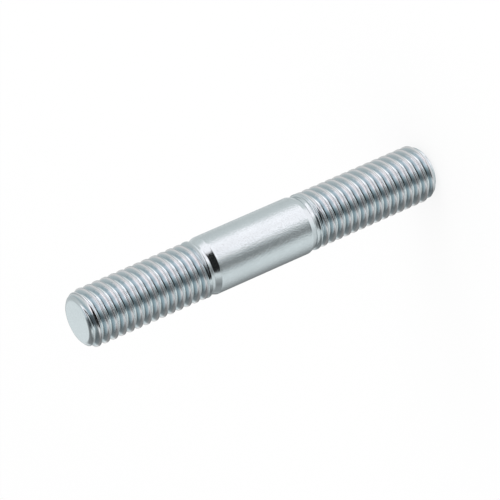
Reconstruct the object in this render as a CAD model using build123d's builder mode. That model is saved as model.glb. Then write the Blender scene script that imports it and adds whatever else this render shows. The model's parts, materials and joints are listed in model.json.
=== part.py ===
"""Double ended stud: one turned and thread-rolled steel bar, standing on its nut end.

A plain shank stands between two threaded ends. Each thread is built as level ring grooves
with the true section and pitch of the thread, so it has the look and size of the real one
but no lead. The last groove is shallower where the thread runs out. A short neck and a
conical shoulder lead up to the shank, and the outer end has a long chamfer and a flat face.
The axis runs along Z. Millimetres.
"""
import os
from math import floor

from build123d import *

# Lengths along the axis, from the nut end's face at Z = 0
NUT_END_LENGTH = 20.8
SHANK_LENGTH = 14.4
TAP_END_LENGTH = 19.6

# Plain shank at the nominal size; the thread is a little smaller over its crests
SHANK_DIAMETER = 8.0
THREAD_DIAMETER = SHANK_DIAMETER - 0.1

# Section of the metric coarse thread
PITCH = 1.25
THREAD_DEPTH = 0.6134 * PITCH
CREST_WIDTH = PITCH / 8
ROOT_WIDTH = PITCH / 6
RUN_OUT_SHARE = 0.45

# Between thread and shank: a narrow neck, then a cone up to the shank
NECK_DIAMETER = SHANK_DIAMETER - 0.7
NECK_LENGTH = 0.5
SHOULDER_LENGTH = 0.9

# Outer end of each thread
END_FACE_DIAMETER = THREAD_DIAMETER - 1.5
CHAMFER_LENGTH = 1.2

TOTAL_LENGTH = NUT_END_LENGTH + SHANK_LENGTH + TAP_END_LENGTH


def groove_corners(middle, depth_share):
    """Corners of one ring groove, centred at a distance from the end's face."""
    crest = THREAD_DIAMETER / 2
    root = ROOT_WIDTH / 2
    mouth = root + depth_share * (PITCH - CREST_WIDTH - ROOT_WIDTH) / 2
    bottom = crest - depth_share * THREAD_DEPTH
    return [
        (crest, middle - mouth),
        (bottom, middle - root),
        (bottom, middle + root),
        (crest, middle + mouth),
    ]


def end_outline(end_length):
    """Radius and distance from the end's face of each corner, from the face to the shank."""
    shoulder = end_length - SHOULDER_LENGTH
    neck = shoulder - NECK_LENGTH
    grooves = floor((neck - CHAMFER_LENGTH - CREST_WIDTH) / PITCH)
    corners = [(END_FACE_DIAMETER / 2, 0), (THREAD_DIAMETER / 2, CHAMFER_LENGTH)]
    for number in range(grooves):
        runs_out = number == grooves - 1
        middle = CHAMFER_LENGTH + (number + 0.5) * PITCH
        corners += groove_corners(middle, RUN_OUT_SHARE if runs_out else 1)
    return corners + [
        (THREAD_DIAMETER / 2, neck),
        (NECK_DIAMETER / 2, neck),
        (NECK_DIAMETER / 2, shoulder),
        (SHANK_DIAMETER / 2, end_length),
    ]


nut_side = end_outline(NUT_END_LENGTH)
tap_side = [(radius, TOTAL_LENGTH - z) for radius, z in reversed(end_outline(TAP_END_LENGTH))]

with BuildPart() as stud:
    with BuildSketch(Plane.XZ):
        with BuildLine():
            Polyline((0, 0), *nut_side, *tap_side, (0, TOTAL_LENGTH), close=True)
        make_face()
    revolve(axis=Axis.Z)

stud.part.label = "stud"
os.makedirs("parts", exist_ok=True)
export_step(stud.part, "parts/stud.step")
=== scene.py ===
"""Looks of the double ended stud: its rolled threads, zinc plating, studio and camera."""
import json
from math import ceil, cos, exp, floor, hypot, pi, radians, sin, sqrt

import bmesh
import bpy
from mathutils import Matrix, Vector


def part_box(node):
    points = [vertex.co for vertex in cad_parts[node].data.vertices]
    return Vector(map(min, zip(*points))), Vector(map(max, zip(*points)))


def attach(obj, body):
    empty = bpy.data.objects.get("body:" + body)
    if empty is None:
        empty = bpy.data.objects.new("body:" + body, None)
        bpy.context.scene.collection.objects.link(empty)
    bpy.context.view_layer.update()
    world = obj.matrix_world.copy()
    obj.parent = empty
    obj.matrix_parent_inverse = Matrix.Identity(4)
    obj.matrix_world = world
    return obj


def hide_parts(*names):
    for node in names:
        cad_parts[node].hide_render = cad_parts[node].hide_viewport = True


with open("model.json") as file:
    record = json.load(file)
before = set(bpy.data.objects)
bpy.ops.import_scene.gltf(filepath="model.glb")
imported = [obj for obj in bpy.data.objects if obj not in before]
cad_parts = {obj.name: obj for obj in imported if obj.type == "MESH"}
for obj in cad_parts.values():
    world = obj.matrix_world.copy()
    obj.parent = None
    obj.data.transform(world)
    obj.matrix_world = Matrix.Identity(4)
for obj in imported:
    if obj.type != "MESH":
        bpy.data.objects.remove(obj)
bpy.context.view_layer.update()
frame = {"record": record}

# Sizes of the bar in millimetres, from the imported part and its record
MM = 0.001
mounts = {mount["name"]: mount for mount in frame["record"]["mounts"]}
TOTAL_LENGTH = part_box("stud")[1].z / MM
SHANK_RADIUS = mounts["shank"]["dims"]["r_mm"]
SHANK_MIDDLE = mounts["shank"]["pos_m"][2] / MM
SHANK_LENGTH = mounts["shank"]["dims"]["length_mm"]
THREAD_RADIUS = mounts["nut_end_thread"]["dims"]["r_mm"]

# Forms between shank and face, with the sizes that the part has
SHOULDER_LENGTH = 0.9
NECK_LENGTH = 0.5
NECK_DEPTH = 0.35
NECK_RADIUS = SHANK_RADIUS - NECK_DEPTH
CHAMFER_LENGTH = 1.2
CHAMFER_DEPTH = 0.75
END_FACE_RADIUS = THREAD_RADIUS - CHAMFER_DEPTH

# Finer forms, which the part leaves out or has in a simpler shape
RUN_OUT_LENGTH = 0.8
NECK_STEP = 0.05
CORNER = 0.09
CORNER_STEPS = 4
LARGEST_CORNER_SHARE = 0.45
CHAMFER_ROUNDING = 0.04
TURNING_MARK_DEPTH = 0.045
TURNING_MARK_PITCH = 0.42
FACE_EDGE = 0.42
FACE_EDGE_STEPS = 5

# The thread: its section, and the height of one crest of each end where it crosses +X.
# The depth is the standard share of the pitch, and the flanks meet at 60 degrees.
PITCH = 1.25
THREAD_DEPTH = 0.6134 * PITCH
FLANK_SLOPE = sqrt(3)
NUT_CREST = 0.02
TAP_CREST = 0.364
CREST_HALF_WIDTH = 0.06
CREST_ROUNDING = 0.06
ROOT_ROUNDING = 0.13
SEAM_DEPTH = 0.07
SEAM_WIDTH = 0.055
LIP_OFFSET = 0.14
LIP_WIDTH = 0.06

# Mesh: columns round the bar, rows across one pitch as shares of it from the crest, closest
# together near the crest, and rings on a face as shares of its radius
COLUMNS = 128
ROWS_ABOVE_CREST = [0.03, 0.065, 0.1, 0.135, 0.17, 0.21, 0.27, 0.34, 0.42]
ROWS_BELOW_CREST = [-share for share in reversed(ROWS_ABOVE_CREST)]
PITCH_ROWS = [-0.5, *ROWS_BELOW_CREST, 0, *ROWS_ABOVE_CREST]
FACE_RINGS = [0.97, 0.75, 0.5, 0.25]
WELD_DISTANCE = 0.002


def ease(value):
    """Smooth step from 0 to 1."""
    value = min(max(value, 0), 1)
    return value * value * (3 - 2 * value)


def soft_positive(value, rounding):
    """The value where it is positive, and 0 elsewhere, with a rounded corner."""
    return (value + sqrt(value * value + rounding * rounding)) / 2


def thread_depth(share):
    """Depth below the crest at a share of the pitch from the crest's middle."""
    flank = (abs(share) - CREST_HALF_WIDTH) * PITCH * FLANK_SLOPE
    at_crest = soft_positive(-CREST_HALF_WIDTH * PITCH * FLANK_SLOPE, CREST_ROUNDING)
    depth = soft_positive(flank, CREST_ROUNDING) - at_crest
    depth = THREAD_DEPTH - soft_positive(THREAD_DEPTH - depth, ROOT_ROUNDING)
    return depth + SEAM_DEPTH * seam_share(share)


def seam_share(share):
    """How far into the rolling seam, which runs along the crest's middle, from 0 to 1."""
    return exp(-((share * PITCH / SEAM_WIDTH) ** 2))


def lip_share(share):
    """How near to the two rounded lips of a crest, one each side of its seam, from 0 to 1."""
    return exp(-(((abs(share) * PITCH - LIP_OFFSET) / LIP_WIDTH) ** 2))


class End:
    """One threaded end: where its face is, which way its shank lies and how its thread turns."""

    def __init__(self, face, inward, length, crest):
        self.face, self.inward, self.crest = face, inward, crest
        self.shoulder = length - SHOULDER_LENGTH
        self.neck = self.shoulder - NECK_LENGTH
        self.length = length

    def height(self, distance):
        """Z at a distance from the end's face."""
        return self.face + self.inward * distance

    def from_crest(self, z, angle):
        """Share of the pitch from the middle of the nearest crest."""
        share = (z - self.crest) / PITCH - angle / (2 * pi)
        return share - round(share)

    def fullness(self, z):
        """1 where the thread has its full depth, falling to 0 at the neck."""
        distance = (z - self.face) * self.inward
        return 1 - ease((distance - self.neck + RUN_OUT_LENGTH) / RUN_OUT_LENGTH)

    def marks(self, z, angle):
        """How far a spot is into the groove, the crest's seam and its lips."""
        share = self.from_crest(z, angle)
        kept = ease((z - self.face) * self.inward / CHAMFER_LENGTH) * self.fullness(z)
        groove = min(thread_depth(share) / THREAD_DEPTH, 1) * self.fullness(z)
        return groove, seam_share(share) * kept, lip_share(share) * kept

    def radius(self, z, angle):
        """Radius of the threaded stretch at a height and an angle about the axis."""
        distance = (z - self.face) * self.inward
        thread = THREAD_RADIUS - thread_depth(self.from_crest(z, angle)) * self.fullness(z)
        slope = (THREAD_RADIUS - END_FACE_RADIUS) / CHAMFER_LENGTH
        mark = TURNING_MARK_DEPTH * (1 - cos(2 * pi * distance / TURNING_MARK_PITCH)) / 2
        chamfer = END_FACE_RADIUS + slope * distance - mark
        radius = thread - soft_positive(thread - chamfer, CHAMFER_ROUNDING)
        if distance < FACE_EDGE:
            radius -= FACE_EDGE - sqrt(FACE_EDGE**2 - (FACE_EDGE - distance) ** 2)
        return radius


class Bar:
    """Vertices and faces of the bar's mesh, in millimetres, built from one end to the other."""

    def __init__(self):
        self.vertices, self.faces = [], []
        self.marks = {"groove": [], "seam": [], "lip": []}

    def vertex(self, radius, z, angle, groove=0.0, seam=0.0, lip=0.0):
        self.vertices.append((radius * cos(angle) * MM, radius * sin(angle) * MM, z * MM))
        for name, value in (("groove", groove), ("seam", seam), ("lip", lip)):
            self.marks[name].append(value)
        return len(self.vertices) - 1

    def ring(self, z, radius_at):
        """A level ring of vertices, whose radius is a function of the angle."""
        angles = [2 * pi * column / COLUMNS for column in range(COLUMNS)]
        return [self.vertex(radius_at(angle), z, angle) for angle in angles]

    def skin(self, rings):
        """Faces between rings, from the lowest up."""
        for low, high in zip(rings, rings[1:]):
            for column in range(COLUMNS):
                after = (column + 1) % COLUMNS
                self.faces.append((low[column], low[after], high[after], high[column]))

    def cap(self, ring, z, upward):
        """A fan from the ring to a vertex on the axis."""
        middle = self.vertex(0, z, 0)
        for column in range(COLUMNS):
            edge = (ring[column], ring[(column + 1) % COLUMNS])
            self.faces.append((*edge, middle) if upward else (*reversed(edge), middle))

    def thread(self, end):
        """Rows that follow the helix, cut off level at both ends of the threaded stretch."""
        low, high = sorted((end.height(FACE_EDGE), end.height(end.neck)))
        first_turn = floor((low - end.crest) / PITCH) - 1
        turns = ceil((high - low) / PITCH) + 3
        starts = [
            end.crest + (first_turn + turn + share) * PITCH
            for turn in range(turns)
            for share in PITCH_ROWS
        ]
        rows = []
        for start in starts:
            row = []
            for column in range(COLUMNS):
                angle = 2 * pi * column / COLUMNS
                z = min(max(start + PITCH * column / COLUMNS, low), high)
                radius = end.radius(z, angle)
                row.append(self.vertex(radius, z, angle, *end.marks(z, angle)))
            rows.append(row)
        # After the last column a row goes on as the row that starts one turn up
        per_turn = len(PITCH_ROWS)
        for index, (below, above) in enumerate(zip(rows, rows[1:])):
            for column in range(COLUMNS - 1):
                after = column + 1
                self.faces.append((below[column], below[after], above[after], above[column]))
            if index + per_turn + 1 < len(rows):
                next_below, next_above = rows[index + per_turn], rows[index + per_turn + 1]
                self.faces.append((below[-1], next_below[0], next_above[0], above[-1]))

    def end_face(self, end):
        """The flat face and its rounded edge."""
        edge = [FACE_EDGE * step / FACE_EDGE_STEPS for step in range(FACE_EDGE_STEPS, -1, -1)]
        rings = [
            self.ring(end.height(d), lambda angle, d=d: end.radius(end.height(d), angle))
            for d in edge
        ]
        rim = END_FACE_RADIUS - FACE_EDGE
        for share in FACE_RINGS:
            rings.append(self.ring(end.face, lambda angle, share=share: rim * share))
        upward = end.inward < 0
        self.skin(rings if upward else rings[::-1])
        self.cap(rings[-1], end.face, upward)


def rounded(corners):
    """An outline's points with each inner corner turned into a small curve."""
    points = [corners[0]]
    for before, corner, after in zip(corners, corners[1:], corners[2:]):
        arms = []
        for other in (before, after):
            run, rise = other[0] - corner[0], other[1] - corner[1]
            reach = min(CORNER / hypot(run, rise), LARGEST_CORNER_SHARE)
            arms.append((corner[0] + run * reach, corner[1] + rise * reach))
        for step in range(CORNER_STEPS + 1):
            t = step / CORNER_STEPS
            weights = ((1 - t) ** 2, 2 * t * (1 - t), t * t)
            spots = (arms[0], corner, arms[1])
            points.append(tuple(sum(w * s[i] for w, s in zip(weights, spots)) for i in (0, 1)))
    return points + [corners[-1]]


def middle_outline(nut, tap):
    """Radius and height of the corners between the two threads."""
    corners = []
    for end, order in ((nut, 1), (tap, -1)):
        side = [
            (THREAD_RADIUS, end.height(end.neck)),
            (NECK_RADIUS, end.height(end.neck + NECK_STEP)),
            (NECK_RADIUS, end.height(end.shoulder)),
            (SHANK_RADIUS, end.height(end.length)),
        ]
        corners += side[::order]
    return corners


def make_stud():
    """The whole bar as one fine mesh."""
    nut_length = SHANK_MIDDLE - SHANK_LENGTH / 2
    tap_length = TOTAL_LENGTH - SHANK_MIDDLE - SHANK_LENGTH / 2
    nut = End(0, 1, nut_length, NUT_CREST)
    tap = End(TOTAL_LENGTH, -1, tap_length, TAP_CREST)
    bar = Bar()
    for end in (nut, tap):
        bar.end_face(end)
        bar.thread(end)
    outline = rounded(middle_outline(nut, tap))
    bar.skin([bar.ring(z, lambda angle, radius=radius: radius) for radius, z in outline])

    mesh = bpy.data.meshes.new("rolled_stud")
    mesh.from_pydata(bar.vertices, [], bar.faces)
    for name, values in bar.marks.items():
        mesh.attributes.new(name, "FLOAT", "POINT").data.foreach_set("value", values)
    stud = bpy.data.objects.new("rolled_stud", mesh)
    bpy.context.scene.collection.objects.link(stud)
    weld(mesh)
    mesh.shade_smooth()
    return stud


def weld(mesh):
    """Joins vertices that lie together, which closes the mesh and drops its empty faces."""
    work = bmesh.new()
    work.from_mesh(mesh)
    bmesh.ops.remove_doubles(work, verts=work.verts, dist=WELD_DISTANCE * MM)
    bmesh.ops.dissolve_degenerate(work, edges=work.edges, dist=WELD_DISTANCE * MM)
    bmesh.ops.recalc_face_normals(work, faces=work.faces)
    work.to_mesh(mesh)
    work.free()


FULL_SHARE = (0.0, 1.0)
WHITE = (1, 1, 1, 1)


class Nodes:
    """Short ways to add and join the nodes of a material or world."""

    def __init__(self, owner):
        owner.use_nodes = True
        self.tree = owner.node_tree
        self.tree.nodes.clear()

    def add(self, kind, inputs=None, **settings):
        """A node whose inputs, by name or number, are outputs of others or constants."""
        node = self.tree.nodes.new(kind)
        for name, value in settings.items():
            setattr(node, name, value)
        for name, value in (inputs or {}).items():
            if isinstance(value, bpy.types.NodeSocket):
                self.tree.links.new(value, node.inputs[name])
            else:
                node.inputs[name].default_value = value
        return node

    def noise(self, place, size, detail=2.0):
        """Noise whose spots are about that size in millimetres."""
        inputs = {"Vector": place, "Scale": 1 / (size * MM), "Detail": detail}
        return self.add("ShaderNodeTexNoise", inputs).outputs["Fac"]

    def ramp(self, value, stops):
        """Colour ramp from (position, colour) stops."""
        node = self.add("ShaderNodeValToRGB", {"Fac": value})
        elements = node.color_ramp.elements
        elements.remove(elements[1])
        elements[0].position = stops[0][0]
        elements[0].color = (*stops[0][1], 1)
        for position, colour in stops[1:]:
            elements.new(position).color = (*colour, 1)
        return node.outputs["Color"]

    def range(self, value, source, target):
        """Value moved from one range to another, and kept within it."""
        inputs = {"Value": value, "From Min": source[0], "From Max": source[1]}
        inputs |= {"To Min": target[0], "To Max": target[1]}
        return self.add("ShaderNodeMapRange", inputs).outputs["Result"]

    def math(self, operation, *values):
        node = self.add("ShaderNodeMath", dict(enumerate(values)), operation=operation)
        return node.outputs["Value"]

    def mix(self, share, first, second):
        """Mix of two colours. The node repeats its socket names, so they go by number."""
        node = self.add("ShaderNodeMix", {0: share, 6: first, 7: second}, data_type="RGBA")
        return node.outputs[2]


# Colours of the plating: its clouds and its speckle. On the thread: painted shade on the flanks and
# in the crest's seam, a painted glint in the roots and painted highlights on the crest's lips
CLOUD_COLOURS = (0.69, 0.745, 0.77, 1), (0.75, 0.805, 0.83, 1)
SPECKLE_COLOUR = (0.56, 0.60, 0.62, 1)
FLANK_SHADE_COLOUR = (0.50, 0.595, 0.64, 1)
ROOT_GLINT_COLOUR = (0.95, 0.99, 1.0, 1)
LIP_HIGHLIGHT_COLOUR = (1.0, 0.955, 0.965, 1)
SEAM_SHADE_COLOUR = (0.30, 0.29, 0.31, 1)

# How strongly they show, and between which depths of the groove the painted flank shade and the
# painted root glint set in
SPECKLE_STRENGTH = 0.2
ROOT_GLINT_STRENGTH = 0.9
SEAM_SHADE_STRENGTH = 0.6
FLANK_SHADE_DEPTHS = (0.15, 0.8)
ROOT_GLINT_DEPTHS = (0.85, 0.95)

# Grain: sizes in millimetres, the noise values that it spans, and its bump on and off the shank
CLOUD_SIZE = 2.5
GRAIN_SIZE = 0.19
GRAIN_DETAIL = 3.0
SPECKLE_SPAN = (0.35, 0.65)
ROUGHNESS_SPAN = (0.35, 0.7)
ROUGHNESS = (0.10, 0.20)
GRAIN_HEIGHT = 0.043
GRAIN_FADE_LENGTH = 0.3
SHANK_GRAIN = 1.0
THREAD_GRAIN = 0.1


def plating_colour(nodes, place, grain):
    """Faint clouds and speckle, painted shade on the flanks and in the seam, a painted glint in the
    roots, and painted highlights on the lips.
    """
    marks = {
        name: nodes.add("ShaderNodeAttribute", attribute_name=name).outputs["Fac"]
        for name in ("groove", "seam", "lip")
    }
    plate = nodes.mix(nodes.noise(place, CLOUD_SIZE), *CLOUD_COLOURS)
    speckle = nodes.range(grain, SPECKLE_SPAN, (0.0, SPECKLE_STRENGTH))
    plate = nodes.mix(speckle, plate, SPECKLE_COLOUR)
    # Painted shade: the flanks darken with the depth of the groove, where its own walls shade it
    flank = nodes.range(marks["groove"], FLANK_SHADE_DEPTHS, FULL_SHARE)
    colour = nodes.mix(flank, plate, FLANK_SHADE_COLOUR)
    # Painted glint: the roots of the groove turn pale, as if lit
    root = nodes.range(marks["groove"], ROOT_GLINT_DEPTHS, (0.0, ROOT_GLINT_STRENGTH))
    colour = nodes.mix(root, colour, ROOT_GLINT_COLOUR)
    # Painted highlights: two pale lines along each crest, one on each lip
    colour = nodes.mix(marks["lip"], colour, LIP_HIGHLIGHT_COLOUR)
    # Painted shade: a dark line in the crease of the crest's seam
    seam = nodes.math("MULTIPLY", marks["seam"], SEAM_SHADE_STRENGTH)
    return nodes.mix(seam, colour, SEAM_SHADE_COLOUR)


def grain_normal(nodes, place, grain):
    """Fine bumps on the shank, which almost fade out towards both ends."""
    height = nodes.add("ShaderNodeSeparateXYZ", {"Vector": place}).outputs["Z"]
    off_middle = nodes.math("ABSOLUTE", nodes.math("SUBTRACT", height, SHANK_MIDDLE * MM))
    shank_end = SHANK_LENGTH / 2 * MM
    fade = (shank_end - GRAIN_FADE_LENGTH * MM, shank_end)
    strength = nodes.range(off_middle, fade, (SHANK_GRAIN, THREAD_GRAIN))
    inputs = {"Height": grain, "Strength": strength, "Distance": GRAIN_HEIGHT * MM}
    return nodes.add("ShaderNodeBump", inputs).outputs["Normal"]


def zinc_plating():
    """Bright zinc over rolled steel, with shade, a glint and highlights painted on its thread."""
    material = bpy.data.materials.new("zinc_plated_steel")
    nodes = Nodes(material)
    place = nodes.add("ShaderNodeTexCoord").outputs["Object"]
    grain = nodes.noise(place, GRAIN_SIZE, GRAIN_DETAIL)
    shader = nodes.add(
        "ShaderNodeBsdfPrincipled",
        {
            "Base Color": plating_colour(nodes, place, grain),
            "Metallic": 1.0,
            "Roughness": nodes.range(grain, ROUGHNESS_SPAN, ROUGHNESS),
            "Normal": grain_normal(nodes, place, grain),
        },
    )
    nodes.add("ShaderNodeOutputMaterial", {"Surface": shader.outputs["BSDF"]})
    return material


# Studio round the stud, as the plating shows it: degrees about the stud's axis from the -Y
# side, and brightness there. Seen from the camera, upright walls show the level bands, cones
# that face up the upper ones, flanks of the thread that face up the top ones, and forms that
# face down the under ones.
LEVEL_BANDS = [
    (-180, 0.60),
    (-168, 0.26),
    (-152, 0.26),
    (-130, 0.36),
    (-100, 0.75),
    (-72, 0.88),
    (-53, 0.78),
    (-44, 0.36),
    (-30, 0.21),
    (-17, 0.33),
    (0, 0.76),
    (11, 1.22),
    (20, 1.27),
    (31, 1.10),
    (56, 1.28),
    (72, 1.20),
    (79, 0.76),
    (110, 0.68),
    (130, 0.64),
    (154, 0.76),
    (180, 0.60),
]
UPPER_BANDS = [
    (-180, 0.88),
    (-168, 0.88),
    (-155, 0.30),
    (-118, 0.20),
    (-104, 0.20),
    (-92, 0.34),
    (-76, 0.48),
    (-63, 0.84),
    (-50, 0.84),
    (-41, 0.01),
    (33, 0.01),
    (41, 1.18),
    (72, 1.18),
    (84, 0.76),
    (120, 0.66),
    (150, 0.60),
    (168, 0.70),
    (180, 0.88),
]
TOP_BANDS = [
    (-180, 0.26),
    (-150, 0.10),
    (-80, 0.10),
    (-20, 0.14),
    (10, 0.58),
    (150, 0.64),
    (180, 0.60),
]
UNDER_BANDS = [
    (-180, 0.70),
    (-60, 0.76),
    (-42, 0.92),
    (10, 1.12),
    (62, 1.12),
    (84, 0.78),
    (180, 0.70),
]
BRIGHT_TINT = (1.04, 1.0, 1.02)
COOL_TINT = (0.955, 1.0, 1.0)
TOP_TINT = (0.88, 1.0, 1.07)

# The upper bands lean: their edges move this far per unit of height in the direction seen
UPPER_LEAN = radians(54)
UPPER_LEAN_FROM = 0.26

# Heights in the direction seen between which one list of bands gives way to the next
LEVEL_TO_UPPER = (-0.3, 0.1)
UPPER_TO_TOP = (0.86, 0.93)
LEVEL_TO_UNDER = (-0.62, -0.82)


def band_stops(bands, cool=COOL_TINT):
    """Colour ramp stops for bands given in degrees."""
    stops = []
    for degrees, tone in bands:
        tint = BRIGHT_TINT if tone > 1 else cool
        stops.append((degrees / 360 + 0.5, [tone * share for share in tint]))
    return stops


def light_studio():
    """Soft panels round the stud seen in its plating, and an even white for all else."""
    world = bpy.data.worlds.new("studio")
    bpy.context.scene.world = world
    nodes = Nodes(world)
    direction = nodes.add("ShaderNodeTexCoord").outputs["Generated"]
    parts = nodes.add("ShaderNodeSeparateXYZ", {"Vector": direction}).outputs
    towards = nodes.math("MULTIPLY", parts["Y"], -1.0)
    angle = nodes.math("ARCTAN2", parts["X"], towards)
    turn = nodes.range(angle, (-pi, pi), FULL_SHARE)
    level = nodes.ramp(turn, band_stops(LEVEL_BANDS))
    lean = nodes.math("SUBTRACT", parts["Z"], UPPER_LEAN_FROM)
    leaning = nodes.math("ADD", angle, nodes.math("MULTIPLY", lean, UPPER_LEAN))
    upper = nodes.ramp(nodes.range(leaning, (-pi, pi), FULL_SHARE), band_stops(UPPER_BANDS))
    top = nodes.ramp(turn, band_stops(TOP_BANDS, TOP_TINT))
    under = nodes.ramp(turn, band_stops(UNDER_BANDS))
    colour = nodes.mix(nodes.range(parts["Z"], LEVEL_TO_UPPER, FULL_SHARE), level, upper)
    colour = nodes.mix(nodes.range(parts["Z"], UPPER_TO_TOP, FULL_SHARE), colour, top)
    colour = nodes.mix(nodes.range(parts["Z"], LEVEL_TO_UNDER, FULL_SHARE), colour, under)
    glossy = nodes.add("ShaderNodeLightPath").outputs["Is Glossy Ray"]
    colour = nodes.mix(glossy, WHITE, colour)
    shader = nodes.add("ShaderNodeBackground", {"Color": colour, "Strength": 1.0})
    nodes.add("ShaderNodeOutputWorld", {"Surface": shader.outputs["Background"]})


# The lamp, in metres and watts
LAMP_SIZE = 0.25
LAMP_POWER = 0.3
LAMP_PLACE = (0.28, -0.16, 0.36)


def add_key_light():
    """A soft lamp above the stud, on the side of its bright band, kept out of reflections."""
    lamp = bpy.data.lights.new("key", "AREA")
    lamp.shape = "DISK"
    lamp.size = LAMP_SIZE
    lamp.energy = LAMP_POWER
    light = bpy.data.objects.new("key", lamp)
    light.location = LAMP_PLACE
    aim = Vector((0, 0, TOTAL_LENGTH * MM / 2)) - light.location
    light.rotation_euler = aim.to_track_quat("-Z", "Y").to_euler()
    light.visible_glossy = False
    bpy.context.scene.collection.objects.link(light)


# The floor, in metres, its paint, and how much of it the camera sees as plain white instead
FLOOR_HALF_WIDTH = 2.0
FLOOR_PAINT = (0.93, 0.93, 0.93, 1)
FLOOR_GLOW = 0.8


def add_floor():
    """Pale floor that keeps the stud's soft shadow."""
    half = FLOOR_HALF_WIDTH
    mesh = bpy.data.meshes.new("floor")
    corners = [(-half, -half, 0), (half, -half, 0), (half, half, 0), (-half, half, 0)]
    mesh.from_pydata(corners, [], [(0, 1, 2, 3)])
    floor_plane = bpy.data.objects.new("floor", mesh)
    bpy.context.scene.collection.objects.link(floor_plane)
    material = bpy.data.materials.new("floor_white")
    nodes = Nodes(material)
    paint = nodes.add("ShaderNodeBsdfDiffuse", {"Color": FLOOR_PAINT}).outputs["BSDF"]
    glow = nodes.add("ShaderNodeEmission", {"Color": WHITE, "Strength": 1.0})
    seen = nodes.add("ShaderNodeLightPath").outputs["Is Camera Ray"]
    share = nodes.math("MULTIPLY", seen, FLOOR_GLOW)
    sides = {0: share, 1: paint, 2: glow.outputs["Emission"]}
    mixed = nodes.add("ShaderNodeMixShader", sides)
    nodes.add("ShaderNodeOutputMaterial", {"Surface": mixed.outputs["Shader"]})
    mesh.materials.append(material)
    floor_plane.visible_glossy = False


# The camera looks down on the stud from its -Y side, rolled so that the stud lies across the
# picture. Lengths in metres, lens and sensor in millimetres.
CAMERA_TILT = radians(25.92)
CAMERA_ROLL = radians(23.78)
CAMERA_DISTANCE = 0.4365
CAMERA_OFFSET = (0.00021, 0.00059)
CAMERA_CLIP_START = 0.01
CAMERA_LENS = 240.6
CAMERA_SENSOR = 36
AIM_HEIGHT = 0.0279


def add_camera():
    """A long lens, with the stud's upper end towards the lower left of the picture."""
    # Along the stud and across it, in the camera's own axes
    down_axis = Vector(
        (cos(CAMERA_TILT) * cos(CAMERA_ROLL), cos(CAMERA_TILT) * sin(CAMERA_ROLL), -sin(CAMERA_TILT))
    )
    across = Vector((-sin(CAMERA_ROLL), cos(CAMERA_ROLL), 0))
    rotation = Matrix((across, across.cross(down_axis), -down_axis))
    aim = Vector((*CAMERA_OFFSET, -CAMERA_DISTANCE))
    camera = bpy.data.objects.new("camera", bpy.data.cameras.new("camera"))
    camera.data.lens = CAMERA_LENS
    camera.data.sensor_width = CAMERA_SENSOR
    camera.data.clip_start = CAMERA_CLIP_START
    camera.matrix_world = Matrix.Translation(
        Vector((0, 0, AIM_HEIGHT)) - rotation @ aim
    ) @ rotation.to_4x4()
    bpy.context.scene.collection.objects.link(camera)
    bpy.context.scene.camera = camera


stud = make_stud()
stud.data.materials.append(zinc_plating())
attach(stud, "root")
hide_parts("stud")

light_studio()
add_key_light()
add_floor()
add_camera()
bpy.context.scene.view_settings.view_transform = "Standard"
